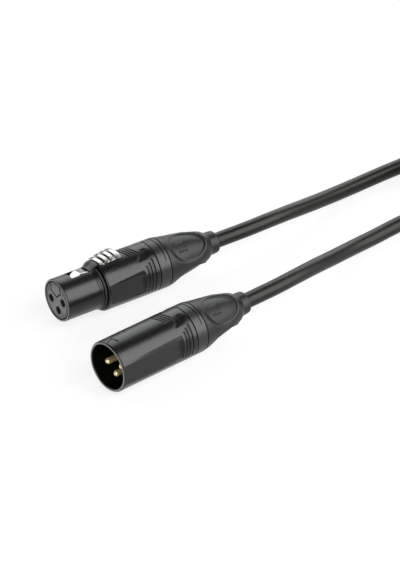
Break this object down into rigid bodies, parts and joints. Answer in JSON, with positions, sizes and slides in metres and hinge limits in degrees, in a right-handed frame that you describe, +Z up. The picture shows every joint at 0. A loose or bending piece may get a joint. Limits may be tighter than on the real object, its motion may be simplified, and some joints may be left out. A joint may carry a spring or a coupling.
{
  "type": "xlr microphone cable",
  "caption": "Balanced audio cable with a latching three-socket connector and a three-pin connector lying side by side, the spare length wound in a tied coil behind.",
  "frame": {"origin": "middle of the footprint of the two connectors, on the surface that they lie on; the loose cable, its coil and the ties are left out of that footprint", "axes": "+X runs along the female connector from its mating face towards its cable, +Z is up, and +Y points from the male connector to the female one"},
  "size_m": [0.2681, 0.0883, 0.026],
  "materials": {
    "shell_paint": "gloss",
    "rubber": "matt",
    "grey_insert": "satin",
    "black_insert": "matt",
    "nickel": "satin nickel",
    "steel": "plain",
    "moulding": "matt",
    "nut_moulding": "satin",
    "boot": "matt",
    "gold": "gold plated",
    "wire_red": "satin",
    "wire_white": "satin",
    "wire_bare": "bare stranded copper",
    "jacket": "matt",
    "tie": "woven"
  },
  "bodies": {
    "cable_set": {"female_shell": "shell_paint", "seal_ring": "rubber", "female_insert": "grey_insert", "latch_pin": "steel", "latch_spring": "steel", "female_earth_tag": "steel", "female_cable_clamp": "moulding", "female_jacket_end": "jacket", "female_conductor_1": "wire_red", "female_conductor_2": "wire_white", "female_conductor_3": "wire_bare", "socket_contact_1": "gold", "socket_contact_2": "gold", "socket_contact_3": "gold", "male_shell": "shell_paint", "male_insert": "black_insert", "male_earth_tag": "steel", "male_cable_clamp": "moulding", "male_jacket_end": "jacket", "male_conductor_1": "wire_red", "male_conductor_2": "wire_white", "male_conductor_3": "wire_bare", "pin_contact_1": "gold", "pin_contact_2": "gold", "pin_contact_3": "gold", "cable_run_female": "jacket", "cable_run_male": "jacket", "cable_coil": "jacket", "coil_tie_1": "tie", "coil_tie_2": "tie"},
    "latch": {"latch_lever": "nickel"},
    "female_nut": {"female_back_nut": "nut_moulding", "female_boot": "boot"},
    "male_nut": {"male_back_nut": "nut_moulding", "male_boot": "boot"}
  },
  "joints": [
    {"name": "latch_press", "type": "hinge", "parent": "cable_set", "child": "latch", "pos_m": [-0.00085, 0.02364, 0.01439], "axis": [0, -0.9781, 0.2079], "range_deg": [0, 5], "stiffness_Nm_per_rad": 0.06, "springref_deg": -22.92},
    {"name": "female_nut_unscrew", "type": "slide", "parent": "cable_set", "child": "female_nut", "axis": [1, 0, 0], "range_m": [0, 0.012]},
    {"name": "male_nut_unscrew", "type": "slide", "parent": "cable_set", "child": "male_nut", "axis": [0.9949, 0.1011, 0], "range_m": [0, 0.012]}
  ]
}
